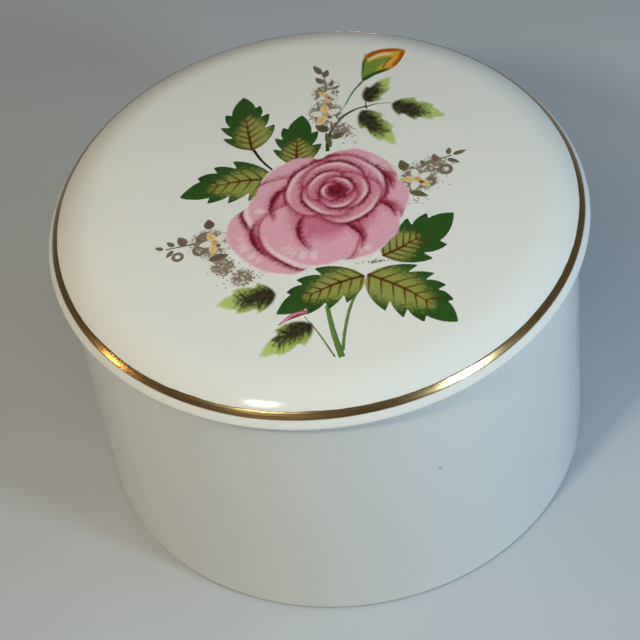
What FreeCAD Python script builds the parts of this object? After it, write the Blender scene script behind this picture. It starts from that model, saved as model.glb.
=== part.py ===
import FreeCAD, Part
import math
import os
from FreeCAD import Vector

# Round porcelain trinket box with a lift-off lid, a gilt band and a fired-on rose spray.
# Millimetres, +Z up. The origin is the middle of the foot ring, on the table.
# -Y is the front: the spray on the lid stands upright for a person who looks from there.

# Heights above the table
SEAT_Z = 46.0            # rim of the base, where the lid's edge rests
FLOOR_Z = 4.2            # inside floor of the base
RECESS_Z = 1.2           # underside of the base, inside its foot ring
FLANGE_Z = 41.5          # lower end of the lid's locating flange

# Base, a slip-cast cup with straight walls
BASE_RADIUS = 38.2
WALL = 2.6
FOOT_INNER_RADIUS = 34.5
HEEL_ROUND = 0.8         # where the wall meets the foot
FOOT_ROUND = 0.4
RECESS_ROUND = 0.6
RIM_ROUND = 0.5          # both edges of the rim
FLOOR_COVE = 4.5         # where the inside wall meets the floor

# Lid, a shallow dome with a full round shoulder, which overhangs the base
LID_RADIUS = 40.0
CROWN = 2.4              # thickness of the top
SHOULDER_ROUND = 9.8
DOME_SLOPE = 3.5         # degrees off level, where the dome runs into the shoulder
EDGE_SLOPE = 55.0        # degrees off level, where the shoulder runs into the edge
EDGE_ROUND = 0.4
FLANGE_RADIUS = 35.0     # outside of the ring that drops into the base
FLANGE_THICKNESS = 2.2
FLANGE_ROUND = 0.6       # both edges at its lower end
FLANGE_ROOT = 0.3        # where its outside meets the seat
LID_COVE = 1.5           # where its inside meets the underside of the top

# Decoration fired onto the glaze
GILT_INNER_RADIUS = 38.4
GILT_OUTER_RADIUS = 39.25
GILT_THICKNESS = 0.05
PRINT_THICKNESS = 0.05
SINK = 0.01              # how far both melt into the glaze
PRINT_REACH = 34.0       # no part of the spray lies further from the middle

# The spray, as blades: foot, tip, width, and how far the middle bows to the left
BLOOM = [(2.5, 8), (9.5, 7), (12.5, 3.5), (12.5, -3), (10.5, -10), (6, -14.5), (-3, -15.5),
         (-9.5, -14.5), (-12.5, -9), (-12.5, -5), (-9.5, -2.5), (-8, 2), (-4.5, 5.5)]
LEAVES = [((-8, 10), (-8.5, 22.5), 8, 0), ((-2, 5.5), (0, 16.5), 6.5, 0),
          ((-5, 3.5), (-19.5, 2.5), 8.5, -1), ((8, -14), (19.5, -8), 8, 0),
          ((5.5, -17), (-7.5, -22.5), 7, 0), ((5.5, -17.5), (17, -28), 9.5, 0)]
SHADOW_LEAVES = [((9, 17), (14.5, 22.5), 4, 0), ((13, 16.5), (21, 12), 5, 0),
                 ((9, 16.5), (13, 7.5), 5, 0), ((-7, -19), (-15.5, -19.5), 6, 0),
                 ((-2.5, -25), (-10.5, -29.5), 5, 0)]
STEMS = [((-0.5, -21), (0.5, -31.5), 1.4, 0.5), ((4.5, -17), (0.5, -29.5), 0.9, 1),
         ((-4.5, -25), (0, -30.5), 0.6, 0.6), ((-8.5, 12), (-3, 3), 0.8, -0.5),
         ((2.5, 5), (6, 15), 0.7, 0.4), ((4, 12.5), (10, 17), 0.7, 0.5),
         ((8.5, 16.3), (14.5, 16.3), 0.7, 0), ((5.5, 14), (10.5, 24), 0.7, 0.6)]
SPRIGS = [((3.5, 10), (2.5, 27.5), 0.6, 0.5), ((10.5, 1), (23, 4.5), 0.6, 0.8),
          ((-11, -8), (-23.5, -6.5), 0.6, 0.6)]
FLORETS = [(4, 20), (3.5, 16), (15.5, -1), (19.5, 1), (-16.5, -7), (-20.5, -9)]
FLORET_RADIUS = 1.1
BUD = ((9.5, 22.5), (17, 28.5), 6, 0)

AXIS = Vector(0, 0, 1)


def polar(centre, radius, degrees):
    """The point of a circle in the XZ plane that lies so many degrees off straight up."""
    turn = math.radians(degrees)
    return centre + Vector(radius * math.sin(turn), 0, radius * math.cos(turn))


def arc(centre, radius, first, last):
    """An arc in the XZ plane between two angles off straight up."""
    middle = (first + last) / 2
    return Part.Arc(*[polar(centre, radius, turn) for turn in (first, middle, last)]).toShape()


def line(start, end):
    return Part.makeLine(start, end)


def revolve(edges):
    """The solid that a closed outline in the XZ plane sweeps in one turn about the Z axis."""
    outline = Part.Wire(edges)
    return Part.Face(outline).revolve(Vector(0, 0, 0), AXIS, 360)


def rounded_outline(corners):
    """A closed outline in the XZ plane from corners (r, z, radius of the round there)."""
    points = [Vector(r, 0, z) for r, z, _ in corners]
    spans = []
    for i, (_, _, radius) in enumerate(corners):
        back = (points[i - 1] - points[i]).normalize()
        ahead = (points[(i + 1) % len(points)] - points[i]).normalize()
        half = back.getAngle(ahead) / 2
        inwards = (back + ahead).normalize()
        setback = radius / math.tan(half)
        deepest = points[i] + inwards * (radius / math.sin(half) - radius)
        spans.append((points[i] + back * setback, deepest, points[i] + ahead * setback))
    edges = []
    for i, (start, middle, end) in enumerate(spans):
        if corners[i][2] > 0:
            edges.append(Part.Arc(start, middle, end).toShape())
        edges.append(line(end, spans[(i + 1) % len(spans)][0]))
    return edges


def porcelain_base():
    """Cup with a straight wall, a foot ring to stand on and a flat rim for the lid."""
    inner_radius = BASE_RADIUS - WALL
    return revolve(rounded_outline([
        (0, RECESS_Z, 0),
        (FOOT_INNER_RADIUS, RECESS_Z, RECESS_ROUND),
        (FOOT_INNER_RADIUS, 0, FOOT_ROUND),
        (BASE_RADIUS, 0, HEEL_ROUND),
        (BASE_RADIUS, SEAT_Z, RIM_ROUND),
        (inner_radius, SEAT_Z, RIM_ROUND),
        (inner_radius, FLOOR_Z, FLOOR_COVE),
        (0, FLOOR_Z, 0)]))


def lid_centres():
    """Centres of the edge round, of the shoulder and of the dome, and the dome's radius."""
    edge = Vector(LID_RADIUS - EDGE_ROUND, 0, SEAT_Z + EDGE_ROUND)
    shoulder = polar(edge, EDGE_ROUND - SHOULDER_ROUND, EDGE_SLOPE)
    join = polar(shoulder, SHOULDER_ROUND, DOME_SLOPE)
    dome_radius = join.x / math.sin(math.radians(DOME_SLOPE))
    dome = polar(join, -dome_radius, DOME_SLOPE)
    return edge, shoulder, dome, dome_radius


def porcelain_lid():
    """Domed top with a round shoulder, a flat seat and a flange that centres it in the base."""
    edge, shoulder, dome, dome_radius = lid_centres()
    flange_inner = FLANGE_RADIUS - FLANGE_THICKNESS
    under_radius = dome_radius - CROWN
    cove_x = flange_inner - LID_COVE
    cove_turn = math.degrees(math.asin(cove_x / (under_radius - LID_COVE)))
    cove = polar(dome, under_radius - LID_COVE, cove_turn)
    root = Vector(FLANGE_RADIUS + FLANGE_ROOT, 0, SEAT_Z - FLANGE_ROOT)
    outer_end = Vector(FLANGE_RADIUS - FLANGE_ROUND, 0, FLANGE_Z + FLANGE_ROUND)
    inner_end = Vector(flange_inner + FLANGE_ROUND, 0, FLANGE_Z + FLANGE_ROUND)
    return revolve([
        arc(dome, dome_radius, 0, DOME_SLOPE),
        arc(shoulder, SHOULDER_ROUND, DOME_SLOPE, EDGE_SLOPE),
        arc(edge, EDGE_ROUND, EDGE_SLOPE, 180),
        line(polar(edge, EDGE_ROUND, 180), polar(root, FLANGE_ROOT, 0)),
        arc(root, FLANGE_ROOT, 0, -90),
        line(polar(root, FLANGE_ROOT, -90), polar(outer_end, FLANGE_ROUND, 90)),
        arc(outer_end, FLANGE_ROUND, 90, 180),
        line(polar(outer_end, FLANGE_ROUND, 180), polar(inner_end, FLANGE_ROUND, 180)),
        arc(inner_end, FLANGE_ROUND, 180, 270),
        line(polar(inner_end, FLANGE_ROUND, 270), polar(cove, LID_COVE, 90)),
        arc(cove, LID_COVE, 90, cove_turn),
        arc(dome, under_radius, cove_turn, 0),
        line(polar(dome, under_radius, 0), polar(dome, dome_radius, 0))])


def gilt_band():
    """Thin ring of gold on the lid's shoulder."""
    shoulder = lid_centres()[1]
    below = SHOULDER_ROUND - SINK
    above = SHOULDER_ROUND + GILT_THICKNESS
    first = math.degrees(math.asin((GILT_INNER_RADIUS - shoulder.x) / SHOULDER_ROUND))
    last = math.degrees(math.asin((GILT_OUTER_RADIUS - shoulder.x) / SHOULDER_ROUND))
    return revolve([
        arc(shoulder, above, first, last),
        line(polar(shoulder, above, last), polar(shoulder, below, last)),
        arc(shoulder, below, last, first),
        line(polar(shoulder, below, first), polar(shoulder, above, first))])


def blade(foot, tip, width, bow):
    """A pointed outline between two arcs, such as a leaf, a bud or the stroke of a stem."""
    start = Vector(foot[0], foot[1], 0)
    end = Vector(tip[0], tip[1], 0)
    left = AXIS.cross(end - start).normalize()
    middle = (start + end) / 2 + left * bow
    sides = [Part.Arc(start, middle + left * width / 2, end).toShape(),
             Part.Arc(end, middle - left * width / 2, start).toShape()]
    return Part.Face(Part.Wire(sides))


def bloom():
    """Outline of the open rose, one smooth closed curve."""
    curve = Part.BSplineCurve()
    curve.interpolate([Vector(x, y, 0) for x, y in BLOOM], PeriodicFlag=True)
    return Part.Face(Part.Wire(curve.toShape()))


def floret(x, y):
    return Part.Face(Part.Wire(Part.makeCircle(FLORET_RADIUS, Vector(x, y, 0))))


def print_skin():
    """A skin on the top of the lid, as thick as the fired print."""
    _, shoulder, dome, dome_radius = lid_centres()
    reach = math.degrees(math.asin((PRINT_REACH - shoulder.x) / SHOULDER_ROUND))
    low, high = -SINK, PRINT_THICKNESS
    return revolve([
        arc(dome, dome_radius + high, 0, DOME_SLOPE),
        arc(shoulder, SHOULDER_ROUND + high, DOME_SLOPE, reach),
        line(polar(shoulder, SHOULDER_ROUND + high, reach), polar(shoulder, SHOULDER_ROUND + low, reach)),
        arc(shoulder, SHOULDER_ROUND + low, reach, DOME_SLOPE),
        arc(dome, dome_radius + low, DOME_SLOPE, 0),
        line(polar(dome, dome_radius + low, 0), polar(dome, dome_radius + high, 0))])


def rose_transfer():
    """Ceramic print of a rose spray, cut from the skin by the outlines of what is drawn on it."""
    outlines = [bloom(), blade(*BUD)]
    outlines += [blade(*shape) for shape in LEAVES + SHADOW_LEAVES + STEMS + SPRIGS]
    outlines += [floret(x, y) for x, y in FLORETS]
    cutters = [face.extrude(AXIS * 2 * CROWN) for face in outlines]
    for cutter in cutters:
        cutter.translate(AXIS * (SEAT_Z + CROWN))
    return cutters[0].multiFuse(cutters[1:]).common(print_skin())


NODES = {
    "porcelain_base": porcelain_base,
    "porcelain_lid": porcelain_lid,
    "gilt_band": gilt_band,
    "rose_transfer": rose_transfer}

os.makedirs("parts", exist_ok=True)
for name, make in NODES.items():
    shape = make()
    shape.exportStep(f"parts/{name}.step")
    box = shape.BoundBox
    print(f"{name}: {len(shape.Solids)} solids, valid {shape.isValid()}, "
          f"{shape.Volume:.1f} mm3, z {box.ZMin:.3f} to {box.ZMax:.3f}")
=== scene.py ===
from math import asin, atan2, cos, degrees, pi, radians, sin, sqrt

import bmesh
import bpy
import numpy as np
from mathutils import Matrix, Vector, noise


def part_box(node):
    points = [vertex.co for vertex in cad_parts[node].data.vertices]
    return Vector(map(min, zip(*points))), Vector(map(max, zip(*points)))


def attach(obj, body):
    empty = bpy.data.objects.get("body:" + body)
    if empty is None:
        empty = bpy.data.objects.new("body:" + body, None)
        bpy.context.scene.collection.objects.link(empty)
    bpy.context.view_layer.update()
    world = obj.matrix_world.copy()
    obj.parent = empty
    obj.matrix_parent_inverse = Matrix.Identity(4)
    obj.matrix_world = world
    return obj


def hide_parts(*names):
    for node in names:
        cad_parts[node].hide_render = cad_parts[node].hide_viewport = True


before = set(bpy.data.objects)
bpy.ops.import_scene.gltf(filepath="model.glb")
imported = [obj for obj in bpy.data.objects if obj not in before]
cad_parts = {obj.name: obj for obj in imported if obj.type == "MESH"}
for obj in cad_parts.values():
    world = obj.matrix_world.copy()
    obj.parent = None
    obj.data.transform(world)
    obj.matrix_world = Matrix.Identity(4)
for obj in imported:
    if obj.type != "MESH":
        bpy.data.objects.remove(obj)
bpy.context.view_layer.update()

MM = 0.001


# ---- Stage: floor, camera and lights ----------------------------------------------------------
# A plain pale table top and a dim room. The camera stands in front, about 48 degrees up, and is
# tipped a little to its left. A warm and a cool soft box stand at the front corners and an amber
# lamp is low on the left. Four fills, at the left, right, top and back, lighten the shadows.

FLOOR_SIZE = 3.0                              # half its side, in metres
FLOOR_PAINT = (0.57, 0.59, 0.63)
ROOM_LIGHT = (1.00, 0.975, 0.92)
ROOM_STRENGTH = 0.083
EYE = Vector((0, -225, 278.2)) * MM
AIM = Vector((-1.8, -1.4, 25)) * MM
LENS = 123.1
CAMERA_TIP = -8.33                            # degrees
LID_MIDDLE = Vector((0, 0, 48)) * MM          # what every lamp faces

scene = bpy.context.scene
scene.view_settings.view_transform = "Standard"

mesh = bpy.data.meshes.new("floor")
bm = bmesh.new()
bmesh.ops.create_grid(bm, x_segments=1, y_segments=1, size=FLOOR_SIZE)
bm.to_mesh(mesh)
bm.free()
floor = bpy.data.objects.new("floor", mesh)
scene.collection.objects.link(floor)
paint = bpy.data.materials.new("floor_paint")
paint.use_nodes = True
paint.node_tree.nodes["Principled BSDF"].inputs["Base Color"].default_value = (*FLOOR_PAINT, 1)
paint.node_tree.nodes["Principled BSDF"].inputs["Roughness"].default_value = 0.6
mesh.materials.append(paint)

room = bpy.data.worlds.new("room")
room.use_nodes = True
room.node_tree.nodes["Background"].inputs["Color"].default_value = (*ROOM_LIGHT, 1)
room.node_tree.nodes["Background"].inputs["Strength"].default_value = ROOM_STRENGTH
scene.world = room

camera = bpy.data.objects.new("camera", bpy.data.cameras.new("camera"))
camera.data.lens = LENS
camera.data.clip_start = 0.01
facing = (AIM - EYE).to_track_quat("-Z", "Y").to_matrix().to_4x4()
tip = Matrix.Rotation(radians(CAMERA_TIP), 4, "Z")
camera.matrix_world = Matrix.Translation(EYE) @ facing @ tip
scene.collection.objects.link(camera)
scene.camera = camera


def soft_box(name, azimuth, elevation, distance, width, watts, colour, shows=True):
    """A square lamp that faces the lid from so many degrees round (from +X) and up. One that
    doesn't show is a fill: the gloss doesn't mirror it."""
    round_z = radians(azimuth)
    up = radians(elevation)
    away = Vector((cos(round_z) * cos(up), sin(round_z) * cos(up), sin(up)))
    lamp = bpy.data.objects.new(name, bpy.data.lights.new(name, "AREA"))
    lamp.data.size = width
    lamp.data.energy = watts
    lamp.data.color = colour
    lamp.visible_glossy = shows
    lamp.location = LID_MIDDLE + away * distance
    lamp.rotation_euler = away.to_track_quat("Z", "Y").to_euler()
    scene.collection.objects.link(lamp)


soft_box("front_left_box", -124, 48, 0.30, 0.032, 0.27, (1.00, 0.955, 0.76))
soft_box("front_right_box", -44, 28, 0.30, 0.045, 0.31, (0.58, 0.81, 1.00))
soft_box("left_lamp", -177, 15, 0.45, 0.035, 0.07, (1.00, 0.66, 0.32))
soft_box("left_fill", -172, 52, 0.25, 0.10, 0.042, (1.00, 0.80, 0.50), shows=False)
soft_box("right_fill", -10, 27, 0.50, 0.30, 0.56, (0.52, 0.78, 1.00), shows=False)
soft_box("top_fill", -105, 62, 0.22, 0.10, 0.080, (1.00, 0.945, 0.74), shows=False)
soft_box("back_fill", 100, 24, 0.90, 0.35, 0.40, (0.96, 0.97, 1.00), shows=False)


# ---- Porcelain base ---------------------------------------------------------------------------
# A slip-cast bone-china cup: straight wall, flat rim, coved floor, and a foot ring to stand on.
# It is glazed all over in a clear glossy glaze, apart from the foot ring, which is wiped bare so
# that it doesn't stick to the kiln shelf.

WALL = 2.6 * MM
FOOT_INNER = 34.5 * MM
FOOT_ROUND = 0.4 * MM
FOOT_FLAT = 0.12 * MM                         # below this height the foot is bare
FOOT_COVE = 0.6 * MM
RECESS = 1.2 * MM                             # of the base's underside, inside the foot ring
HEEL = 0.8 * MM
RIM_ROUND = 0.5 * MM
INSIDE_FLOOR = 4.2 * MM
FLOOR_COVE = 4.5 * MM
TURNS = 240                                   # facets round every turned shape
LONG_STRETCH = 3 * MM                         # a straight longer than this gets points along it
STRETCH_END = 0.25 * MM                       # and one so close to each end
GLAZE_WHITE = (0.86, 0.845, 0.80)
GLAZE_THICK = (0.84, 0.83, 0.80)
GLAZE_WAVES = 0.12 * MM
IRON_BROWN = (0.28, 0.23, 0.18)
IRON_SPECK = (12.4 * MM, -36.1 * MM, 29.2 * MM)    # the one large speck, on the front of the wall
BISCUIT_WHITE = (0.78, 0.76, 0.71)
BISCUIT_GREY = (0.55, 0.52, 0.47)
BISCUIT_GRAIN = 0.05 * MM


class Socket:
    """A number on its way through a material, so that shader maths reads as Python."""
    tree = None

    def __init__(self, link):
        self.link = link

    @classmethod
    def node(cls, kind, settings=None, output=0, **inputs):
        """Any node: its type, its settings, then the values or links of its sockets."""
        made = cls.tree.nodes.new(kind)
        for setting, value in (settings or {}).items():
            setattr(made, setting, value)
        for place, value in inputs.items():
            socket = made.inputs[int(place[1:]) if place[1:].isdigit() else place.replace("_", " ")]
            if isinstance(value, Socket):
                cls.tree.links.new(value.link, socket)
            else:
                socket.default_value = value
        return cls(made.outputs[output])

    def maths(self, operation, other):
        return Socket.node("ShaderNodeMath", {"operation": operation}, _0=self, _1=other)

    def __add__(self, other):
        return self.maths("ADD", other)

    def __mul__(self, other):
        return self.maths("MULTIPLY", other)

    def __rsub__(self, other):
        return Socket.node("ShaderNodeMath", {"operation": "SUBTRACT"}, _0=other, _1=self)

    __radd__ = __add__
    __rmul__ = __mul__

    def ramp(self, low, high):
        """0 below low, 1 above high, smooth between; low may be the larger one."""
        return Socket.node("ShaderNodeMapRange", {"interpolation_type": "SMOOTHSTEP"},
                           Value=self, From_Min=low, From_Max=high)


def mix(amount, first, second):
    """From the first colour to the second."""
    return Socket.node("ShaderNodeMix", {"data_type": "RGBA"}, output=2,
                       _0=amount, _6=rgba(first), _7=rgba(second))


def rgba(colour):
    return colour if isinstance(colour, Socket) else (*colour, 1)


def speckle(place, scale, detail=2.0, rough=0.5):
    """Cloudy noise from 0 to 1 with so many blotches to the metre."""
    return Socket.node("ShaderNodeTexNoise", Vector=place, Scale=scale, Detail=detail, Roughness=rough)


def material(name):
    """An empty material, with its tree ready for Socket, and its Principled shader."""
    made = bpy.data.materials.new(name)
    made.use_nodes = True
    Socket.tree = made.node_tree
    return made, made.node_tree.nodes["Principled BSDF"]


def finish_with(shader, **inputs):
    """Sets the shader's sockets to values or links."""
    for place, value in inputs.items():
        socket = shader.inputs[place.replace("_", " ")]
        if isinstance(value, Socket):
            Socket.tree.links.new(value.link, socket)
        else:
            socket.default_value = value


def bump(height, depth):
    return Socket.node("ShaderNodeBump", Height=height, Distance=depth, Strength=1.0)


def glaze_material():
    """Clear glaze over white bone china: nearly even, with soft waves and a few dark specks."""
    made, shader = material("glazed_porcelain")
    place = Socket.node("ShaderNodeTexCoord", output=3)
    thick = speckle(place, 38.0)
    tone = mix(thick.ramp(0.35, 0.7), GLAZE_WHITE, GLAZE_THICK)
    grit = Socket.node("ShaderNodeTexVoronoi", {"feature": "F1"}, Vector=place, Scale=110.0)
    rare = Socket.node("ShaderNodeTexVoronoi", {"feature": "F1"}, output=1, Vector=place, Scale=110.0)
    chance = Socket.node("ShaderNodeSeparateColor", Color=rare)
    specks = grit.ramp(0.022, 0.012) * chance.ramp(0.965, 0.97)
    spot = Socket.node("ShaderNodeVectorMath", {"operation": "DISTANCE"}, output=1,
                       _0=place, _1=IRON_SPECK)
    specks = specks.maths("MAXIMUM", spot.ramp(0.40 * MM, 0.16 * MM))
    waves = speckle(place, 55.0, 1.0) + speckle(place, 420.0, 1.0) * 0.05
    finish_with(shader, Base_Color=mix(specks * 0.6, tone, IRON_BROWN),
                Roughness=0.07 + thick * 0.05, Normal=bump(waves, GLAZE_WAVES),
                IOR=1.52, Coat_Weight=0.0, Subsurface_Weight=0.12, Subsurface_Scale=1.2 * MM)
    shader.inputs["Subsurface Radius"].default_value = (1.0, 0.85, 0.7)
    return made


def biscuit_material():
    """Bare fired clay of the foot ring: matt, slightly sandy and rubbed grey by table tops."""
    made, shader = material("bare_foot")
    place = Socket.node("ShaderNodeTexCoord", output=3)
    rubbed = speckle(place, 260.0, 6.0, 0.7)
    grains = speckle(place, 3200.0, 3.0)
    tone = mix(rubbed.ramp(0.45, 0.75), BISCUIT_WHITE, BISCUIT_GREY)
    finish_with(shader, Base_Color=tone, Roughness=0.75 + grains * 0.15, Normal=bump(grains, BISCUIT_GRAIN))
    return made


glaze = glaze_material()
biscuit = biscuit_material()


def arc(centre, radius, first, last, steps):
    """Points of an arc between two angles, in degrees off straight up."""
    turns = [radians(first + (last - first) * step / steps) for step in range(steps + 1)]
    return [(centre[0] + radius * sin(turn), centre[1] + radius * cos(turn)) for turn in turns]


def with_even_stretches(outline):
    """The outline with points along its long stretches, and one close to each end of them."""
    points = [outline[0]]
    for (r0, z0), (r1, z1) in zip(outline, outline[1:]):
        length = sqrt((r1 - r0) ** 2 + (z1 - z0) ** 2)
        if length > LONG_STRETCH:
            end = STRETCH_END / length
            count = int(length / LONG_STRETCH) + 1
            shares = [step / count for step in range(1, count) if step / count < 1 - end]
            for share in (end, *shares, 1 - end):
                points.append((r0 + (r1 - r0) * share, z0 + (z1 - z0) * share))
        points.append((r1, z1))
    return points


def turned(name, outline, finish):
    """A piece thrown on the wheel: an outline of (r, z) points spun a full turn about Z."""
    bm = bmesh.new()
    points = [bm.verts.new((r, 0, z)) for r, z in with_even_stretches(outline)]
    edges = [bm.edges.new(pair) for pair in zip(points, points[1:])]
    bmesh.ops.spin(bm, geom=points + edges, cent=(0, 0, 0), axis=(0, 0, 1), dvec=(0, 0, 0),
                   angle=2 * pi, steps=TURNS, use_merge=True)
    bmesh.ops.remove_doubles(bm, verts=bm.verts, dist=0.001 * MM)
    bmesh.ops.recalc_face_normals(bm, faces=bm.faces)
    return piece_from(name, bm, finish)


def piece_from(name, bm, finish):
    """Makes an object of a finished bmesh, with smooth shading and its material."""
    mesh = bpy.data.meshes.new(name)
    bm.to_mesh(mesh)
    bm.free()
    mesh.shade_smooth()
    mesh.materials.append(finish)
    made = bpy.data.objects.new(name, mesh)
    scene.collection.objects.link(made)
    return made


base_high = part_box("porcelain_base")[1]
base_radius, seat = base_high.x, base_high.z
inner_radius = base_radius - WALL
base_outline = (
    [(0, RECESS)]
    + arc((FOOT_INNER - FOOT_COVE, RECESS - FOOT_COVE), FOOT_COVE, 0, 90, 6)
    + arc((FOOT_INNER + FOOT_ROUND, FOOT_ROUND), FOOT_ROUND, 270, 180, 6)
    + arc((base_radius - HEEL, HEEL), HEEL, 180, 90, 10)
    + arc((base_radius - RIM_ROUND, seat - RIM_ROUND), RIM_ROUND, 90, 0, 8)
    + arc((inner_radius + RIM_ROUND, seat - RIM_ROUND), RIM_ROUND, 0, -90, 8)
    + arc((inner_radius - FLOOR_COVE, INSIDE_FLOOR + FLOOR_COVE), FLOOR_COVE, 90, 180, 16)
    + [(0, INSIDE_FLOOR)])
base = turned("base", base_outline, glaze)
base.data.materials.append(biscuit)
for face in base.data.polygons:
    if face.center.z < FOOT_FLAT:
        face.material_index = 1
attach(base, "base")
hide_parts("porcelain_base")


# ---- Porcelain lid ----------------------------------------------------------------------------
# A slightly domed disc of the same china with a full round shoulder. Its thin edge overhangs the
# base, its flat seat rests on the rim, and a flange drops inside the wall and centres it.

SHOULDER_ROUND = 9.8 * MM
DOME_SLOPE = 3.5                              # degrees off level where dome and shoulder meet
EDGE_SLOPE = 55.0
EDGE_ROUND = 0.4 * MM
CROWN = 2.4 * MM                              # thickness of the lid's top
LID_COVE = 1.5 * MM
FLANGE_RADIUS = 35.0 * MM
FLANGE_THICKNESS = 2.2 * MM
FLANGE_ROUND = 0.6 * MM
FLANGE_ROOT = 0.3 * MM

lid_low, lid_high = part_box("porcelain_lid")
edge_centre = (lid_high.x - EDGE_ROUND, seat + EDGE_ROUND)
shoulder_centre = (edge_centre[0] - (SHOULDER_ROUND - EDGE_ROUND) * sin(radians(EDGE_SLOPE)),
                   edge_centre[1] - (SHOULDER_ROUND - EDGE_ROUND) * cos(radians(EDGE_SLOPE)))
join_radius = shoulder_centre[0] + SHOULDER_ROUND * sin(radians(DOME_SLOPE))
dome_radius = join_radius / sin(radians(DOME_SLOPE))
dome_z = lid_high.z - dome_radius
flange_inner = FLANGE_RADIUS - FLANGE_THICKNESS
under_radius = dome_radius - CROWN
cove_reach = under_radius - LID_COVE
cove_r = flange_inner - LID_COVE
cove_z = dome_z + sqrt(cove_reach ** 2 - cove_r ** 2)
cove_slope = degrees(asin(cove_r / cove_reach))
lid_outline = (
    arc((0, dome_z), dome_radius, 0, DOME_SLOPE, 16)
    + arc(shoulder_centre, SHOULDER_ROUND, DOME_SLOPE, EDGE_SLOPE, 26)[1:]
    + arc(edge_centre, EDGE_ROUND, EDGE_SLOPE, 180, 12)[1:]
    + arc((FLANGE_RADIUS + FLANGE_ROOT, seat - FLANGE_ROOT), FLANGE_ROOT, 0, -90, 5)
    + arc((FLANGE_RADIUS - FLANGE_ROUND, lid_low.z + FLANGE_ROUND), FLANGE_ROUND, 90, 180, 7)
    + arc((flange_inner + FLANGE_ROUND, lid_low.z + FLANGE_ROUND), FLANGE_ROUND, 180, 270, 7)
    + arc((cove_r, cove_z), LID_COVE, 90, cove_slope, 8)
    + arc((0, dome_z), under_radius, cove_slope, 0, 12)[1:])
lid = turned("lid", lid_outline, glaze)
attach(lid, "lid")
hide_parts("porcelain_lid")


# ---- Gilt band --------------------------------------------------------------------------------
# Liquid gold, banded by hand with a brush while the lid turns on a wheel, fired on and burnished.
# Its edges wander a little, it is thinner where the brush ran dry, and handling has rubbed it.

GILT_TURNS = 720                              # facets round the band
GILT_INNER = 38.4 * MM
GILT_LIFT = 0.035 * MM
GILT_WANDER = 0.10 * MM                       # how far the brush strays from a true ring
GILT_GOLD = (0.70, 0.43, 0.17)
GILT_LIGHT = (0.80, 0.53, 0.24)
GILT_BRUSH_MARKS = 0.012 * MM

gilt_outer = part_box("gilt_band")[1].x


def shoulder_slope(r):
    """Degrees off straight up, on the shoulder, of the place at radius r."""
    return degrees(asin((r - shoulder_centre[0]) / SHOULDER_ROUND))


def gold_material():
    """Bright gold, streaked round the lid by the brush and worn through in pinholes."""
    made, shader = material("gilding")
    place = Socket.node("ShaderNodeTexCoord", output=3)
    x, y = (Socket.node("ShaderNodeSeparateXYZ", output=axis, Vector=place) for axis in (0, 1))
    radius = Socket.node("ShaderNodeVectorMath", {"operation": "LENGTH"}, output=1,
                         _0=Socket.node("ShaderNodeCombineXYZ", X=x, Y=y))
    along = Socket.node("ShaderNodeCombineXYZ", X=x * 130.0, Y=y * 130.0, Z=radius * 5200.0)
    streaks = speckle(along, 1.0, 3.0, 0.6)
    worn = speckle(place, 2600.0, 4.0, 0.7)
    thin = speckle(place, 120.0, 2.0)
    bare = worn.ramp(0.70, 0.76) * thin.ramp(0.5, 0.65)
    tone = mix(streaks.ramp(0.3, 0.7), GILT_GOLD, GILT_LIGHT)
    finish_with(shader, Base_Color=mix(bare, tone, GLAZE_WHITE), Metallic=1.0 - bare,
                Roughness=0.13 + streaks * 0.16, Normal=bump(streaks + worn * 0.2, GILT_BRUSH_MARKS))
    return made


def wavering(way, waves, start):
    """A number that strays about 0 as the way turns round the lid."""
    return noise.noise(Vector((way.x * waves, way.y * waves, start)))


bm = bmesh.new()
inner_slope, outer_slope = shoulder_slope(GILT_INNER), shoulder_slope(gilt_outer)
section = (arc(shoulder_centre, SHOULDER_ROUND + GILT_LIFT, inner_slope, outer_slope, 8)
           + arc(shoulder_centre, SHOULDER_ROUND - GILT_LIFT, outer_slope, inner_slope, 3))
ring = [bm.verts.new((r, 0, z)) for r, z in section]
edges = [bm.edges.new((ring[i], ring[(i + 1) % len(ring)])) for i in range(len(ring))]
bmesh.ops.spin(bm, geom=ring + edges, cent=(0, 0, 0), axis=(0, 0, 1), dvec=(0, 0, 0),
               angle=2 * pi, steps=GILT_TURNS, use_merge=True)
for v in bm.verts:
    r = v.co.xy.length
    out = Vector((r - shoulder_centre[0], v.co.z - shoulder_centre[1]))
    share = (r - GILT_INNER) / (gilt_outer - GILT_INNER)
    way = v.co.xy.normalized()
    inner_wander = wavering(way, 5, 0) + wavering(way, 30, 3) / 2
    outer_wander = wavering(way, 4, 9) / 2 - 0.5
    wander = inner_wander * (1 - share) + outer_wander * share
    out.rotate(Matrix.Rotation(-GILT_WANDER / SHOULDER_ROUND * wander, 2))
    v.co.xy = way * (shoulder_centre[0] + out.x)
    v.co.z = shoulder_centre[1] + out.y
bmesh.ops.recalc_face_normals(bm, faces=bm.faces)
gilt = piece_from("gilt_band_film", bm, gold_material())
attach(gilt, "lid")
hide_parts("gilt_band")


# ---- Enamel films ------------------------------------------------------------------------------
# The picture is a ceramic print: thin films of coloured enamel, laid on the glazed lid and fired
# until they sink into it. Each film is a fine sheet cut to an outline and laid over the dome. It
# has a colour and a cover at every point, brushed on in strokes.

FINENESS = 0.13 * MM                          # between the points of a film
FILM_SLOPE = 0.7 * MM                         # how far in from its edge a film is full thick
FILM_ROOT = 0.004 * MM                        # how far a film's edge sinks into the glaze
PRINT_GRAIN = 2200                            # grains to the metre that roughen a brush's edge
ENAMEL_RELIEF = 0.015 * MM
PAINTER_GAMMA = 2.2


def shade(red, green, blue):
    """A colour as a painter mixes it (0 to 255), in linear light."""
    return np.array([(part / 255) ** PAINTER_GAMMA for part in (red, green, blue)])


def smooth(share):
    share = np.clip(share, 0, 1)
    return share * share * (3 - 2 * share)


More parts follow.
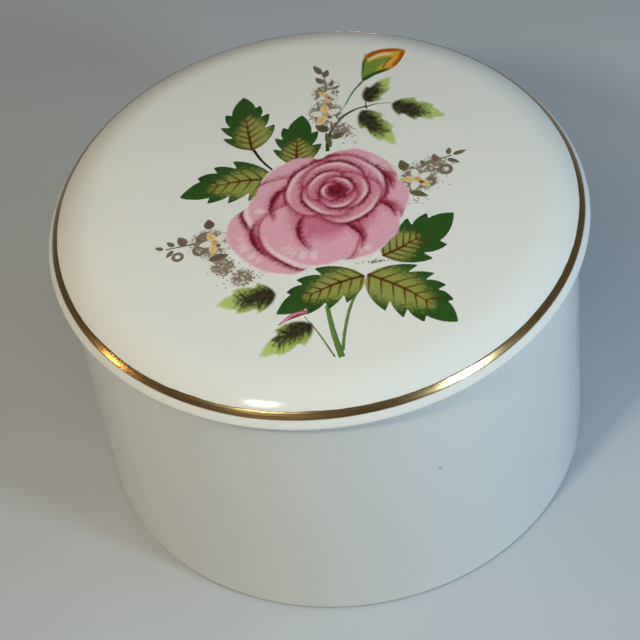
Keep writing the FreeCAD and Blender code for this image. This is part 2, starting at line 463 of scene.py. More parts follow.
def flowing(points, closed=False, steps=8):
    """A smooth line through a few points (mm on the lid), as many close points (m)."""
    path = np.array(points, float) * MM
    if closed:
        path = np.vstack([path[-1:], path, path[:2]])
    else:
        path = np.vstack([2 * path[0] - path[1], path, 2 * path[-1] - path[-2]])
    t = np.linspace(0, 1, steps, endpoint=False)[:, None]
    spans = []
    for a, b, c, d in zip(path, path[1:], path[2:], path[3:]):
        bow = (2 * a - 5 * b + 4 * c - d) * t ** 2
        twist = (3 * b - a - 3 * c + d) * t ** 3
        spans.append(0.5 * (2 * b + (c - a) * t + bow + twist))
    return np.vstack(spans if closed else spans + [path[-2:-1]])


def from_line(line, places):
    """How far each place is from a line, and what share of the way along it."""
    start, step = line[:-1], line[1:] - line[:-1]
    lengths = np.hypot(step[:, 0], step[:, 1]) + 1e-12
    gap = places[:, None] - start
    share = np.clip((gap * step).sum(2) / lengths ** 2, 0, 1)
    gap -= share[..., None] * step
    apart = np.hypot(gap[..., 0], gap[..., 1])
    nearest = apart.argmin(1)
    row = np.arange(len(places))
    run = (np.cumsum(lengths) - lengths)[nearest] + share[row, nearest] * lengths[nearest]
    return apart[row, nearest], run / lengths.sum()


def inside(outline, places):
    """Whether each place is inside a closed outline."""
    x, y = places[:, :1], places[:, 1:]
    x0, y0 = outline.T
    x1, y1 = np.roll(outline, -1, 0).T
    crosses = (y0 > y) != (y1 > y)
    reach = x0 + (x1 - x0) * (y - y0) / (y1 - y0 + 1e-15)
    return (crosses & (x < reach)).sum(1) % 2 == 1


def glaze_height(r):
    """Height of the lid's top at radius r, on the dome or on the shoulder."""
    on_dome = dome_z + np.sqrt(dome_radius ** 2 - r ** 2)
    past = np.maximum(r - shoulder_centre[0], 0)
    on_shoulder = shoulder_centre[1] + np.sqrt(np.maximum(SHOULDER_ROUND ** 2 - past ** 2, 0))
    return np.where(r < join_radius, on_dome, on_shoulder)


class Film:
    """One film of enamel inside an outline, to be painted and then laid on the lid. Its cover
    fades in over the feather, and its top is the lift above the glaze, both in mm."""

    def __init__(self, outline, colour, feather, lift):
        self.lift = lift * MM
        self.bm = bmesh.new()
        low, high = outline.min(0), outline.max(0)
        middle, half = (low + high) / 2, (high - low) / 2
        across, along = (2 * half / FINENESS).astype(int) + 3
        bmesh.ops.create_grid(self.bm, x_segments=int(across), y_segments=int(along), size=1,
                              matrix=Matrix.Translation((*middle, 0)) @ Matrix.Diagonal((*half, 1, 1)))
        kept = inside(outline, self.points())
        outer = [v for v, keep in zip(self.bm.verts, kept) if not keep]
        bmesh.ops.delete(self.bm, geom=outer, context="VERTS")
        loose = [v for v in self.bm.verts if not v.link_faces]
        bmesh.ops.delete(self.bm, geom=loose, context="VERTS")
        self.places = self.points()
        rim = np.array([v.is_boundary for v in self.bm.verts])
        ring = np.vstack([outline, outline[:1]])
        self.places[rim] = nearest_on(ring, self.places[rim])
        self.edge = from_line(ring, self.places)[0]
        self.edge[rim] = 0
        self.cover = smooth(self.edge / (feather * MM))
        self.colour = np.tile(colour, (len(self.places), 1))
        self.grain = np.array([noise.noise(Vector((x, y, 0)) * PRINT_GRAIN) for x, y in self.places])

    def points(self):
        return np.array([v.co.xy for v in self.bm.verts])

    def brush(self, near, body, colour):
        """Lays a colour on some of the places, as thick as body says."""
        body = body[:, None]
        self.colour[near] = self.colour[near] * (1 - body) + colour * body

    def around(self, line, margin):
        """The places in the box round a line and so far outside it."""
        low, high = line.min(0) - margin, line.max(0) + margin
        return np.flatnonzero(((self.places > low) & (self.places < high)).all(1))

    def stroke(self, line, width, colour, strength=1.0, soft=0.6, ends=(0.15, 0.25), ragged=0.12):
        """A brush stroke along a line: soft at its sides, and tapered over a share of each end."""
        line = flowing(line)
        near = self.around(line, width * MM)
        gap, run = from_line(line, self.places[near])
        press = (run + 1e-6) / (ends[0] + 1e-6), (1 - run + 1e-6) / (ends[1] + 1e-6)
        press = np.sqrt(np.clip(press[0], 0, 1) * np.clip(press[1], 0, 1))
        half = width / 2 * MM * press
        body = smooth((half - gap + self.grain[near] * ragged * width / 2 * MM) / (soft * width / 2 * MM))
        self.brush(near, body * strength, colour)

    def patch(self, outline, colour, strength, soft, ragged):
        """Fills a closed outline (m); its edge fades over so many mm and is as ragged."""
        near = self.around(outline, soft * MM)
        gap = from_line(np.vstack([outline, outline[:1]]), self.places[near])[0]
        depth = np.where(inside(outline, self.places[near]), gap, -gap) + self.grain[near] * ragged * MM
        self.brush(near, smooth(depth / (soft * MM) + 0.5) * strength, colour)

    def dab(self, place, width, colour, strength=1.0):
        """A round touch of the brush."""
        x, y = place
        self.stroke([(x - 0.05, y), (x + 0.05, y)], width, colour, strength, 0.8, (0, 0))

    def lay_on(self, piece):
        """Lays the film over the dome, closes it underneath and adds it to a piece's bmesh."""
        r = np.hypot(self.places[:, 0], self.places[:, 1])
        above = smooth(self.edge / FILM_SLOPE) * (self.lift + FILM_ROOT) - FILM_ROOT
        height = glaze_height(r) + above
        layer = self.bm.verts.layers.float_color.new("enamel")
        for v, (x, y), z, colour, cover in zip(self.bm.verts, self.places, height, self.colour, self.cover):
            v.co = (x, y, z)
            v[layer] = (*colour, cover)
        rim = [edge for edge in self.bm.edges if edge.is_boundary]
        for edge in rim:
            edge.smooth = False
        bmesh.ops.holes_fill(self.bm, edges=rim, sides=0)
        bmesh.ops.recalc_face_normals(self.bm, faces=self.bm.faces)
        sheet = bpy.data.meshes.new("sheet")
        self.bm.to_mesh(sheet)
        self.bm.free()
        piece.from_mesh(sheet)
        bpy.data.meshes.remove(sheet)


def nearest_on(line, places):
    """The point of a line nearest to each place."""
    start, step = line[:-1], line[1:] - line[:-1]
    share = np.clip(((places[:, None] - start) * step).sum(2) / ((step ** 2).sum(1) + 1e-15), 0, 1)
    feet = start + share[..., None] * step
    gap = feet - places[:, None]
    nearest = (gap ** 2).sum(2).argmin(1)
    return feet[np.arange(len(places)), nearest]


def ribbon(line, start, end):
    """Outline of a stem along a line, so wide (mm) at its start and at its end."""
    path = flowing(line)
    way = np.gradient(path, axis=0)
    way /= np.hypot(way[:, 0], way[:, 1])[:, None]
    half = np.linspace(start, end, len(path))[:, None] / 2 * MM
    side = np.column_stack([-way[:, 1], way[:, 0]]) * half
    return np.vstack([path + side, (path - side)[::-1]])


def enamel_material():
    """Fired enamel: the painted colour and cover, with the grain of a print and a soft gloss."""
    made, shader = material("printed_enamel")
    place = Socket.node("ShaderNodeTexCoord", output=3)
    painted = Socket.node("ShaderNodeAttribute", {"attribute_name": "enamel"})
    cover = Socket.node("ShaderNodeAttribute", {"attribute_name": "enamel"}, output=3)
    grain = speckle(place, 3800.0, 3.0, 0.7)
    cloud = speckle(place, 700.0, 3.0)
    darker = Socket.node("ShaderNodeVectorMath", {"operation": "SCALE"}, _0=painted, Scale=0.92)
    lighter = Socket.node("ShaderNodeVectorMath", {"operation": "SCALE"}, _0=painted, Scale=1.07)
    tone = mix((grain * 0.85 + cloud * 0.15).ramp(0.38, 0.62), darker, lighter)
    solid = Socket.node("ShaderNodeMapRange", {"interpolation_type": "SMOOTHSTEP"}, Value=cover,
                        From_Min=grain * 0.35, From_Max=0.9)
    finish_with(shader, Base_Color=tone, Alpha=solid, Roughness=0.17 + grain * 0.12,
                Normal=bump(cloud + grain * 0.4, ENAMEL_RELIEF), IOR=1.5)
    return made


enamel = enamel_material()


def print_piece(name, films):
    """Makes one piece of the picture from its films, in the order in which they lie."""
    bm = bmesh.new()
    bm.verts.layers.float_color.new("enamel")
    for film in films:
        film.lay_on(bm)
    made = piece_from(name, bm, enamel)
    made.visible_shadow = False               # the film is in the glaze, and can't shade it
    made.visible_diffuse = False
    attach(made, "lid")
    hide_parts("rose_transfer")


# ---- Stems -------------------------------------------------------------------------------------
# Three cut stems that meet at the foot of the spray, and the twigs of the bud and the top leaf.

STEM_GREEN = shade(96, 128, 62)
STEM_DARK = shade(52, 72, 34)
TWIG_BLACK = shade(38, 42, 24)
STEM_BLEED = 0.16                             # how much wider the enamel runs than the stem
STEMS = (
    # line, width at its start and at its end, colour
    ([(-0.4, -22), (0, -27), (0.7, -31.6)], 0.75, 1.1, STEM_GREEN),
    ([(5.4, -18), (3.0, -22.5), (1.6, -27), (0.9, -30.6)], 0.55, 0.6, STEM_GREEN),
    ([(-3.8, -23.4), (-2.2, -26.5), (-0.2, -31.4)], 0.32, 0.4, STEM_GREEN),
    ([(-8.1, 10.6), (-7.0, 7.8), (-5.4, 5.2), (-3.6, 3.0)], 0.6, 0.4, TWIG_BLACK),
    ([(2.8, 7.6), (3.4, 11.0), (5.2, 14.2), (7.6, 16.0), (9.8, 16.6)], 0.75, 0.4, STEM_DARK),
    ([(9.2, 16.3), (11.2, 16.8), (13.6, 16.6)], 0.4, 0.25, STEM_DARK),
    ([(9.6, 15.8), (9.6, 17.6)], 0.4, 0.3, STEM_DARK),
    ([(6.3, 17.0), (8.0, 20.2), (10.0, 22.7)], 0.3, 0.55, STEM_GREEN))

stems = []
for line, start, end, tone in STEMS:
    stem = Film(ribbon(line, start + STEM_BLEED, end + STEM_BLEED), tone, 0.14, 0.02)
    lit_side = [(x - start * 0.2, y) for x, y in line]
    dark_side = [(x + start * 0.5, y) for x, y in line]
    stem.stroke(lit_side, start * 0.4, tone * 1.5, 0.5)
    stem.stroke(dark_side, start * 0.3, tone * 0.5, 0.6)
    stems.append(stem)
print_piece("rose_stems", stems)


# ---- Shadow leaves -----------------------------------------------------------------------------
# Leaves further back in the spray: a pale yellow-green blot with a brown-black heart, whose edge
# is feathered by the brush.

PALE_GREEN = shade(168, 188, 98)
YELLOW_GREEN = shade(190, 212, 120)
HEART_BROWN = shade(48, 38, 30)
FEATHERS = 46                                 # fine strokes that feather each heart
BRISTLES = np.random.default_rng(3)
FULLNESS = 2.05                               # brings a leaf's widest place to about its full width
FOOT_ROUNDNESS = 0.66                         # less is rounder
TIP_FINENESS = 0.92                           # more is finer
TOOTH_GAP = 0.03                              # how far a tooth leans over the next, along the leaf
TOOTH_STEPS = 8
SHADOW_TOOTH_DEPTH = 0.2
SHADOW_LEAVES = (
    # foot, tip, width, teeth on the left and on the right, how far the heart leans
    ((9.2, 17.0), (14.5, 23.2), 6.6, (0.55,), (0.40, 0.75), 0.15),
    ((12.9, 16.7), (21.8, 11.9), 8.0, (0.45, 0.75), (0.35, 0.62, 0.85), -0.1),
    ((8.5, 16.3), (13.3, 6.5), 7.6, (0.40, 0.70), (0.45, 0.80), -0.1),
    ((-6.6, -18.8), (-16.4, -19.2), 9.0, (0.45, 0.75), (0.40, 0.75), 0.0),
    ((-2.2, -24.7), (-11.2, -29.8), 8.0, (0.45, 0.80), (0.60,), -0.12))


class Leaf:
    """Places on a leaf: along it from foot (0) to tip (1), and across it from -1 to 1."""

    def __init__(self, foot, tip, width, bend=0.0):
        self.foot = np.array(foot, float)
        self.way = np.array(tip, float) - self.foot
        self.left = np.array([-self.way[1], self.way[0]]) / np.hypot(*self.way)
        self.width = width
        self.bend = bend

    def at(self, along, across):
        aside = across * self.width / 2 + self.bend * sin(pi * along)
        return tuple(self.foot + self.way * along + self.left * aside)

    def margin(self, teeth, side, depth):
        """One edge from foot to tip. It swells up to each tooth and drops back behind it."""
        points = []
        start, swell = 0.0, 1.0
        for tooth in (*teeth, 1.0):
            full = 1.0 if tooth == 1.0 else 1 + depth / 2
            for step in range(TOOTH_STEPS + 1):
                share = step / TOOTH_STEPS
                along = start + (tooth - start) * share
                fullness = FULLNESS * along ** FOOT_ROUNDNESS * (1 - along) ** TIP_FINENESS
                points.append(self.at(along, side * fullness * (swell + (full - swell) * share ** 0.8)))
            start, swell = tooth - TOOTH_GAP, 1 - depth
        return points

    def outline(self, left_teeth, right_teeth, depth):
        edge = self.margin(left_teeth, 1, depth) + self.margin(right_teeth, -1, depth)[::-1]
        return np.array(edge) * MM


shadows = []
for foot, tip, width, left_teeth, right_teeth, lean in SHADOW_LEAVES:
    leaf = Leaf(foot, tip, width)
    film = Film(leaf.outline(left_teeth, right_teeth, SHADOW_TOOTH_DEPTH), PALE_GREEN, 1.1, 0.02)
    film.stroke([leaf.at(0.5, 0), leaf.at(1.0, 0)], width * 0.9, YELLOW_GREEN, 0.8, 1)
    film.stroke([leaf.at(-0.04, lean), leaf.at(0.35, lean), leaf.at(0.74, lean)], width * 0.68,
                HEART_BROWN, 0.95, 0.8, (0.08, 0.5), 0.3)
    for _ in range(FEATHERS):
        along = BRISTLES.uniform(0.02, 0.62)
        side = BRISTLES.choice((-1, 1))
        reach = BRISTLES.uniform(0.35, 0.75)
        film.stroke([leaf.at(along, lean + side * 0.1), leaf.at(along + 0.13, lean + side * reach)],
                    BRISTLES.uniform(0.35, 0.7), HEART_BROWN, 0.55, 1, (0, 0.8))
    shadows.append(film)
print_piece("shadow_leaves", shadows)


# ---- Rose leaves -------------------------------------------------------------------------------
# Six serrated leaves: deep green at the edge, yellow-green along the middle, with red-brown ribs.

LEAF_GREEN = shade(50, 86, 34)
LEAF_DEEP = shade(34, 60, 28)
LEAF_LIGHT = shade(150, 154, 78)
RIB_BROWN = shade(88, 32, 18)
LEAVES = (
    # foot, tip, width, bend, teeth left and right, side of the light patch and how far it goes
    ((-8.2, 10.1), (-8.6, 22.6), 10.8, 0.2, (0.32, 0.52, 0.73), (0.42, 0.63, 0.80), -0.15, 0.64),
    ((-2.0, 5.5), (-0.1, 16.6), 9.6, 0.3, (0.35, 0.56, 0.76), (0.44, 0.68), -0.05, 0.54),
    ((-5.0, 3.4), (-19.8, 2.7), 11.4, -1.1, (0.34, 0.54, 0.74), (0.42, 0.62, 0.80), 0.12, 0.72),
    ((8.2, -14.6), (19.6, -7.8), 11.4, -0.6, (0.36, 0.57, 0.77), (0.42, 0.66), 0.10, 0.52),
    ((5.6, -17.6), (-7.7, -22.5), 10.4, -0.8, (0.34, 0.54, 0.74), (0.42, 0.64, 0.80), 0.05, 0.70),
    ((5.7, -17.4), (17.3, -28.1), 12.4, 0.8, (0.34, 0.52, 0.68, 0.83), (0.40, 0.58, 0.76), -0.08, 0.76))
TOOTH_DEPTH = 0.27
RIBS = 6                                      # on each side of the midrib
RIB_WIDTH = 0.46
MIDRIB_WIDTH = 0.66
VEIN_SHADE_WIDTH = 1.2                        # the green that runs in between the ribs

leaves = []
for foot, tip, width, bend, left_teeth, right_teeth, lean, reach in LEAVES:
    leaf = Leaf(foot, tip, width, bend)
    film = Film(leaf.outline(left_teeth, right_teeth, TOOTH_DEPTH), LEAF_GREEN, 0.16, 0.03)
    for side in (1, -1):
        film.stroke([leaf.at(0.2, side * 0.9), leaf.at(0.5, side * 0.85), leaf.at(0.95, side * 0.2)],
                    width * 0.26, LEAF_DEEP, 0.75, 0.9)
    film.stroke([leaf.at(-0.05, lean), leaf.at(reach * 0.5, lean), leaf.at(reach, lean * 0.6)],
                width * 0.66, LEAF_LIGHT, 1, 0.6, (0.02, 0.45), 0.25)
    for rib in range(RIBS):
        along = 0.03 + rib * reach * 0.92 / RIBS
        wide = 0.62 - 0.05 * rib
        for side in (1, -1):
            film.stroke([leaf.at(along + 0.14, side * 0.98), leaf.at(along + 0.06, side * 0.45)],
                        VEIN_SHADE_WIDTH, LEAF_GREEN, 0.75, 0.8, (0, 0.9))
            film.stroke([leaf.at(along, 0), leaf.at(along + 0.09, side * wide * 0.6),
                         leaf.at(along + 0.15, side * wide)], RIB_WIDTH, RIB_BROWN, 0.9, 0.8, (0.05, 0.7))
    film.stroke([leaf.at(-0.02, 0), leaf.at(reach * 0.5, 0), leaf.at(reach + 0.06, 0)], MIDRIB_WIDTH,
                RIB_BROWN, 0.95, 0.7, (0, 0.6))
    leaves.append(film)
print_piece("rose_leaves", leaves)


# ---- Rosebud -----------------------------------------------------------------------------------
# A yellow bud edged in burnt orange, held by green sepals, at the end of the twig.

BUD_ORANGE = shade(186, 92, 12)
BUD_YELLOW = shade(232, 170, 60)
BUD_CREAM = shade(240, 222, 170)
SEPAL_GREEN = shade(122, 146, 68)

bud = Film(flowing([(9.7, 22.3), (9.7, 25.0), (10.6, 28.4), (13.4, 29.6), (17.0, 28.9), (16.4, 26.6),
                    (14.6, 24.4), (12.0, 23.4)], closed=True), BUD_YELLOW, 0.2, 0.03)
bud.stroke([(10.6, 27.6), (12.6, 28.9), (14.8, 29.0), (16.8, 28.5)], 1.3, BUD_ORANGE)
bud.stroke([(16.7, 28.6), (16.0, 26.6), (14.4, 24.8)], 1.2, BUD_ORANGE)
bud.stroke([(11.0, 27.0), (13.0, 28.1), (15.4, 28.0)], 0.8, BUD_CREAM, 0.9)
bud.stroke([(15.6, 27.4), (14.4, 26.2)], 0.8, BUD_YELLOW)
bud.stroke([(10.2, 23.0), (11.0, 25.2), (13.4, 26.8), (15.2, 27.3)], 3.2, SEPAL_GREEN, 1, 0.4, (0.1, 0.7))
bud.stroke([(10.0, 23.0), (10.1, 25.6), (10.9, 27.8)], 1.2, SEPAL_GREEN, 1, 0.5)
bud.stroke([(10.0, 22.8), (12.4, 24.0), (14.6, 24.8)], 1.3, LEAF_GREEN, 1, 0.6, (0, 0.5))
bud.stroke([(10.0, 24.2), (10.4, 26.6), (11.0, 28.2)], 0.3, LEAF_DEEP, 0.9)
bud.stroke([(13.0, 24.6), (13.8, 26.2), (15.0, 27.2)], 0.35, RIB_BROWN, 0.8)
sepal = Film(ribbon([(10.6, 26.6), (10.7, 28.0), (11.0, 29.3)], 0.9, 0.3), LEAF_DEEP, 0.2, 0.02)
print_piece("rose_bud", [sepal, bud])


# ---- Rose bloom --------------------------------------------------------------------------------
# One open cabbage rose: broad pale guard petals round a tight, deep crimson heart. Every petal is
# laid over the one behind it as a wash of pink with a light lip, a shaded foot and a dark fold.

PETAL = shade(232, 170, 188)
PETAL_LIGHT = shade(248, 216, 224)
ROSE = shade(206, 112, 140)
CRIMSON = shade(160, 50, 74)
MAROON = shade(112, 24, 36)
HEART = np.array((3.2, -0.6))
GUARD_PETALS = (
    # centre, radius and stretch of each, from the back of the bloom to the front
    ((5.8, 0.8), 6.9, 1.0), ((-1.6, 0.6), 6.8, 1.05), ((7.0, -4.4), 6.2, 1.15), ((-6.6, -8.0), 6.5, 1.25),
    ((-3.8, -3.6), 6.2, 1.2), ((4.6, -8.6), 6.0, 1.2), ((-1.4, -8.2), 6.4, 1.15))
FOLDS = (
    # width and line of each long fold drawn across the guard petals
    (1.3, [(-3.0, 1.6), (-5.4, 0.2), (-6.6, -2.6), (-6.2, -5.4)]),
    (1.0, [(-1.6, -4.2), (-2.9, -6.6), (-2.8, -9.4), (-1.2, -12.2)]),
    (1.1, [(-8.8, -4.2), (-9.8, -7.0), (-8.8, -10.4), (-6.2, -12.9)]),
    (1.2, [(2.6, -6.4), (4.8, -8.2), (6.0, -10.4), (5.6, -12.8)]),
    (1.1, [(8.6, -3.4), (10.6, -5.2), (11.2, -7.6)]),
    (0.9, [(9.6, 2.6), (11.2, 0.4), (11.4, -2.2)]),
    (0.9, [(-0.4, 5.4), (2.4, 6.6), (5.4, 6.4)]))
GUARD_STREAKS = 7                             # fine strokes of each kind on a guard petal
WHORL_PETALS = 10
WHORL_TURN = radians(137.5)
TILT = radians(40)                            # the way the heart is seen a little from the side
PETAL_POINTS = 44                             # round each petal's edge
BLOOM_MIDDLE = np.array((0.2, -3.6))
BLOOM_POINTS = 120                            # round the whole bloom
BLOOM_REACHES = np.linspace(5, 18, 66)        # tried for its edge, in mm off its middle


def petal_edge(centre, radius, turn, stretch):
    """A petal wider than it is long, with an uneven lip that leans round the heart."""
    angles = np.linspace(0, 2 * pi, PETAL_POINTS, endpoint=False)
    off = angles - turn
    reach = radius * (1 + 0.05 * np.cos(off - 0.7) + 0.03 * np.cos(3 * off + 4 * turn)
                      + 0.012 * np.cos(7 * off + turn))
    out, aside = reach * np.cos(off), reach * np.sin(off) * stretch
    return np.column_stack([centre[0] + out * cos(turn) - aside * sin(turn),
                            centre[1] + out * sin(turn) + aside * cos(turn)]) * MM


def part_of(edge, first, last):
    """The stretch of an edge between two angles (degrees) off its outward side, in mm."""
    count = len(edge)
    steps = range(int(count * first / 360), int(count * last / 360) + 1, 2)
    return [tuple(edge[step % count] / MM) for step in steps]


def paint_petal(film, centre, radius, stretch, wash, foot, depth):
    """One petal on a film: fold behind it, wash, shaded foot towards the heart, and light lip."""
    centre = np.array(centre, float)
    out = centre - HEART
    turn = atan2(out[1], out[0])
    size = 0.5 + radius * 0.07
    start = int(turn / (2 * pi) * PETAL_POINTS)
    edge = np.roll(petal_edge(centre, radius, turn, stretch), -start, 0)
    shadow = petal_edge(centre, radius + 0.5 * size, turn, stretch)
    film.patch(shadow, CRIMSON, 0.9, 1.9 * size, 0.4)
    film.stroke(part_of(edge, -100, 75), 2.3 * size, MAROON, 1, 0.9, (0.4, 0.5), 0.25)
    film.patch(edge, wash, 1, 0.3, 0.12)
    inner = HEART + out * (0.62 - 0.4 * depth)
    hollow = petal_edge(inner, radius * (0.60 + 0.28 * depth), turn, stretch)
    film.patch(hollow, foot, 0.95, radius * 0.5, 0.5)
    lip = np.roll(petal_edge(centre, radius - 0.5 * size, turn, stretch), -start, 0)
    film.stroke(part_of(lip, -75, 65), 1.3 * size, PETAL_LIGHT, 0.95 - 0.3 * depth, 0.9, (0.4, 0.4), 0.2)


def turned_by(way, swing):
    """A way across the lid, turned by so many radians."""
    return np.array((way[0] * cos(swing) - way[1] * sin(swing), way[0] * sin(swing) + way[1] * cos(swing)))


def guard_outline():
    """The outer edge of all the guard petals together, found from the middle of the bloom."""
    turns, reaches = np.meshgrid(np.linspace(0, 2 * pi, BLOOM_POINTS, endpoint=False), BLOOM_REACHES)
    tried = BLOOM_MIDDLE + np.stack([np.cos(turns), np.sin(turns)], -1) * reaches[..., None]
    tried = tried.reshape(-1, 2) * MM
    covered = np.zeros(len(tried), bool)
    for centre, radius, stretch in GUARD_PETALS:
        out = np.array(centre) - HEART
        covered |= inside(petal_edge(centre, radius, atan2(out[1], out[0]), stretch), tried)
    furthest = (covered.reshape(turns.shape) * reaches).argmax(0)
    return tried.reshape(*turns.shape, 2)[furthest, np.arange(BLOOM_POINTS)]


bloom = Film(guard_outline(), ROSE, 0.8, 0.042)
for centre, radius, stretch in GUARD_PETALS:
    paint_petal(bloom, centre, radius, stretch, PETAL, ROSE, 0)
    away = np.array(centre) - HEART
    away /= np.hypot(*away)
    for _ in range(GUARD_STREAKS):
        way = turned_by(away, BRISTLES.uniform(-0.75, 0.75))
        reach = radius * BRISTLES.uniform(0.45, 0.85)
        bloom.stroke([centre - way * radius * 0.2, centre + way * reach * 0.5, centre + way * reach],
                     BRISTLES.uniform(0.5, 1.3), ROSE, 0.45, 1, (0.1, 0.8), 0.3)
        bloom.stroke([centre + way * radius * 0.45, centre + way * radius * 0.88],
                     BRISTLES.uniform(0.8, 1.8), PETAL_LIGHT, 0.5, 1, (0.5, 0.3), 0.3)
for width, line in FOLDS:
    bloom.stroke(line, width * 2.6, ROSE, 0.7, 1, (0.2, 0.4))
    bloom.stroke([(x + 0.35, y + 0.2) for x, y in line], width * 1.5, CRIMSON, 0.85, 1, (0.3, 0.5), 0.3)
    bloom.stroke(line, width * 1.1, MAROON, 1, 0.8, (0.4, 0.6), 0.3)
for count in range(WHORL_PETALS):
    share = 1 - count / WHORL_PETALS          # from 1 at the outermost petal towards the heart
    swing = WHORL_TURN * count + 0.5
    radius = 1.0 + 3.7 * share
    step = np.array((cos(swing), sin(swing))) * radius * 0.66
    lean = np.array((cos(TILT), sin(TILT)))
    centre = HEART + step - lean * (step @ lean) * 0.25
    paint_petal(bloom, centre, radius, 1.25, PETAL * share * 0.6 + ROSE * (1 - share * 0.6),
                CRIMSON * share + MAROON * (1 - share), 0.9)
bloom.stroke([HEART + (-0.9, 0.5), HEART + (0.0, -0.4), HEART + (0.9, 0.4)], 0.9, MAROON, 0.9)
scrap = Film(flowing([(-8.0, -24.8), (-6.0, -22.9), (-4.0, -22.2), (-2.2, -22.9), (-4.2, -23.5),
                      (-6.0, -24.0)], closed=True), CRIMSON, 0.3, 0.035)
scrap.stroke([(-7.2, -24.2), (-5.0, -22.9), (-3.0, -22.8)], 0.5, PETAL, 0.7)
print_piece("rose_bloom", [scrap, bloom])


# ---- Grey sprigs -------------------------------------------------------------------------------
# Three sprigs of filler flowers behind the rose: taupe leaves and seed rings, and small white
# florets with amber petals and a dark eye.

TAUPE = shade(126, 110, 92)
TAUPE_DARK = shade(96, 84, 74)
AMBER = shade(232, 178, 64)
FLORET_WHITE = shade(236, 232, 220)
EYE_RED = shade(120, 44, 40)
OLIVE = shade(92, 86, 56)
MOSS = shade(96, 110, 62)
DRAB = shade(100, 94, 62)
KHAKI = shade(108, 100, 72)
STONE = shade(112, 102, 70)
RUSSET = shade(112, 84, 76)
FAWN = shade(118, 98, 86)
LEAF_SPREAD = 1.7                             # how far the enamel of a small leaf runs
FLORET_SPREAD = 1.2                           # the same of a floret
FLORET_PETALS = 5
AMBER_PETALS = (1, 3)


def sprig_leaf(foot, tip, width, tone=TAUPE):
    """A small plain leaf, darker down its middle."""
    leaf = Leaf(foot, tip, width * LEAF_SPREAD)
    film = Film(leaf.outline((), (), 0), tone, 0.3, 0.018)
    film.stroke([leaf.at(0.05, 0.1), leaf.at(0.85, 0.1)], width * 0.4, TAUPE_DARK, 0.6)
    return film


def round_film(x, y, radius, tone, feather, lift):
    turns = np.radians(np.arange(0, 360, 15))
    circle = np.column_stack([x + radius * np.cos(turns), y + radius * np.sin(turns)])
    return Film(circle * MM, tone, feather, lift)


def seed_ring(x, y, radius):
    """A seed head drawn as a ring, open in the middle."""
    film = round_film(x, y, radius + 0.35, TAUPE, 0.35, 0.018)
    off = np.hypot(*(film.places / MM - (x, y)).T)
    film.cover *= smooth((off - radius * 0.35) / (radius * 0.35))
    return film


def mist(x, y, radius):
    """A thin grey bloom behind the flowers, dusted on so that it is all grain."""
    film = round_film(x, y, radius, TAUPE * 1.2, radius * 0.6, 0.014)
    film.cover *= 0.74 + 0.8 * film.grain
    return film


def floret(x, y, radius, turn):
    """Five round petals with grey edges, three white and two amber, and a dark eye."""
    radius *= FLORET_SPREAD
    outline = []
    for step in range(0, 360, 12):
        reach = radius * (0.90 + 0.16 * cos(FLORET_PETALS * radians(step)))
        outline.append((x + reach * cos(radians(step + turn)), y + reach * sin(radians(step + turn))))
    film = Film(flowing(outline, closed=True, steps=3), TAUPE, 0.35, 0.025)
    for petal in range(FLORET_PETALS):
        way = radians(360 / FLORET_PETALS * petal + turn)
        line = [(x + radius * share * cos(way), y + radius * share * sin(way)) for share in (0.4, 0.7)]
        film.stroke(line, radius * 0.66, FLORET_WHITE, 0.97, 0.5, (0, 0))
        if petal in AMBER_PETALS:
            film.stroke(line, radius * 0.56, AMBER, 0.9, 0.8, (0, 0))
    film.dab((x, y), radius * 0.55, AMBER, 0.8)
    film.dab((x + radius * 0.2, y - radius * 0.25), radius * 0.40, EYE_RED)
    return film


def stalk(*line):
    """The stalk of a sprig, a little finer at its end."""
    return Film(ribbon(line, 0.8, 0.6), TAUPE, 0.3, 0.015)


mists = [
    mist(3.8, 20.6, 3.0), mist(3.4, 16.2, 3.8), mist(5.2, 12.0, 2.4), mist(15.4, -0.2, 4.0),
    mist(18.0, 2.0, 2.8), mist(-16.0, -7.4, 4.0), mist(-14.2, -12.2, 2.6), mist(-11.6, -14.8, 2.4)]
top_sprig = [
    stalk((4.0, 12.0), (4.1, 18.0), (4.0, 24.6)),
    sprig_leaf((3.8, 25.0), (2.5, 27.8), 1.2), sprig_leaf((3.9, 24.2), (4.8, 26.4), 1.2),
    sprig_leaf((3.9, 22.8), (2.5, 24.8), 1.2), sprig_leaf((4.6, 22.0), (5.4, 23.8), 0.9),
    sprig_leaf((5.0, 21.4), (6.4, 22.2), 0.8), sprig_leaf((3.6, 12.0), (1.4, 13.9), 1.6, OLIVE),
    sprig_leaf((3.4, 8.2), (3.0, 12.4), 1.1, MOSS), sprig_leaf((3.4, 10.4), (6.2, 11.6), 1.5, DRAB),
    floret(3.9, 20.0, 1.6, 60), floret(3.4, 15.8, 2.2, 20)]
right_sprig = [
    stalk((13.6, 0.6), (17.0, 2.6), (21.0, 3.8)),
    sprig_leaf((20.8, 3.8), (23.3, 4.6), 1.0), sprig_leaf((20.2, 3.8), (20.8, 5.6), 1.0),
    sprig_leaf((19.8, 3.2), (22.0, 1.9), 1.0), sprig_leaf((18.4, 2.4), (18.2, 4.7), 1.3),
    sprig_leaf((16.8, 2.0), (16.0, 3.6), 1.0), sprig_leaf((13.8, 1.4), (13.2, 4.2), 1.6, KHAKI),
    sprig_leaf((13.4, -2.4), (16.6, -4.2), 1.3, STONE),
    seed_ring(19.5, 1.0, 0.95), seed_ring(16.9, -1.2, 0.8), floret(15.2, -0.4, 2.1, 100)]
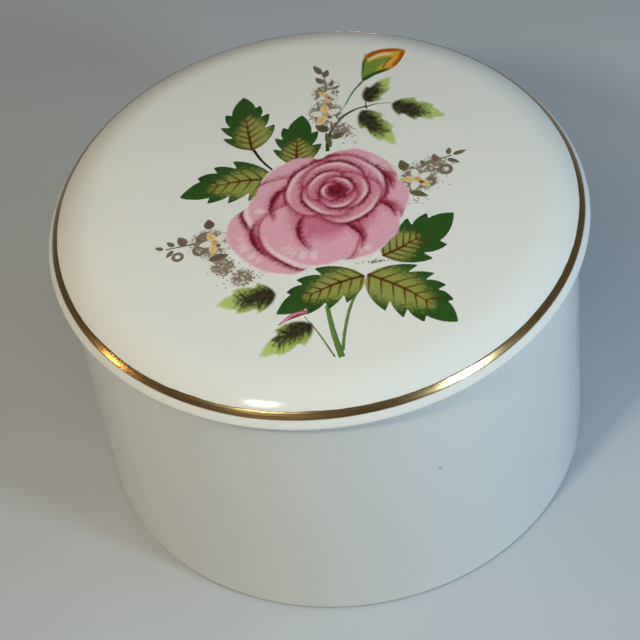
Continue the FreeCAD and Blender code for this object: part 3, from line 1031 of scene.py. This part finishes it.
left_sprig = [
    stalk((-14.0, -7.2), (-18.0, -7.0), (-22.4, -7.2)),
    sprig_leaf((-22.4, -7.2), (-24.0, -6.4), 0.9), sprig_leaf((-20.8, -7.0), (-22.2, -5.6), 1.0),
    sprig_leaf((-19.2, -7.2), (-20.4, -5.0), 1.5), sprig_leaf((-21.0, -7.4), (-22.5, -9.0), 0.9),
    sprig_leaf((-17.2, -7.4), (-17.6, -5.2), 1.0), sprig_leaf((-15.6, -4.8), (-15.7, -2.4), 1.6, RUSSET),
    seed_ring(-20.6, -9.0, 0.75), seed_ring(-17.4, -8.4, 0.9), seed_ring(-16.6, -6.2, 0.9),
    sprig_leaf((-16.4, -10.6), (-13.0, -10.0), 1.5, FAWN), floret(-15.1, -7.4, 2.1, 40)]
print_piece("grey_sprigs", mists + top_sprig + right_sprig + left_sprig)


# ---- Stipple -----------------------------------------------------------------------------------
# A dust of fine grey dots that softens the sprigs into the white, thick near the flowers and
# thinning outwards.

DOTS = np.random.default_rng(7)
DOT_SCATTER = 0.62
DOT_SIZES = (0.06, 0.16)
DOT_LIGHTER = (0.9, 1.5)
DOT_LIFT = 0.008 * MM
DOT_COVER = 0.75
STIPPLE = (
    # middle, spread along x and y, how many dots
    ((3.9, 17.5), (1.5, 4.4), 170), ((4.8, 22.6), (1.0, 1.0), 36), ((5.8, 11.6), (1.5, 1.9), 70),
    ((15.6, 0.6), (2.2, 2.4), 130), ((14.8, -4.6), (1.0, 0.9), 22), ((18.6, 2.4), (1.6, 1.0), 40),
    ((-15.6, -7.6), (1.6, 2.3), 120), ((-14.4, -12.4), (1.7, 1.5), 70), ((-11.4, -14.6), (1.9, 0.9), 80),
    ((-13.0, -15.4), (1.0, 0.6), 18), ((7.0, -15.4), (1.6, 0.3), 46), ((9.2, -12.8), (0.9, 0.9), 16))
bm = bmesh.new()
layer = bm.verts.layers.float_color.new("enamel")
for middle, spread, count in STIPPLE:
    for _ in range(count):
        x, y = (np.array(middle) + DOTS.normal(0, DOT_SCATTER, 2) * spread) * MM
        size = DOTS.uniform(*DOT_SIZES) * MM
        tone = TAUPE * DOTS.uniform(*DOT_LIGHTER)
        z = float(glaze_height(np.hypot(x, y))) + DOT_LIFT
        dot = bmesh.ops.create_circle(bm, cap_ends=True, segments=7, radius=size,
                                      matrix=Matrix.Translation((x, y, z)))
        for v in dot["verts"]:
            v[layer] = (*tone, DOT_COVER)
stipple = piece_from("grey_stipple", bm, enamel)
stipple.visible_shadow = False
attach(stipple, "lid")
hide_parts("rose_transfer")
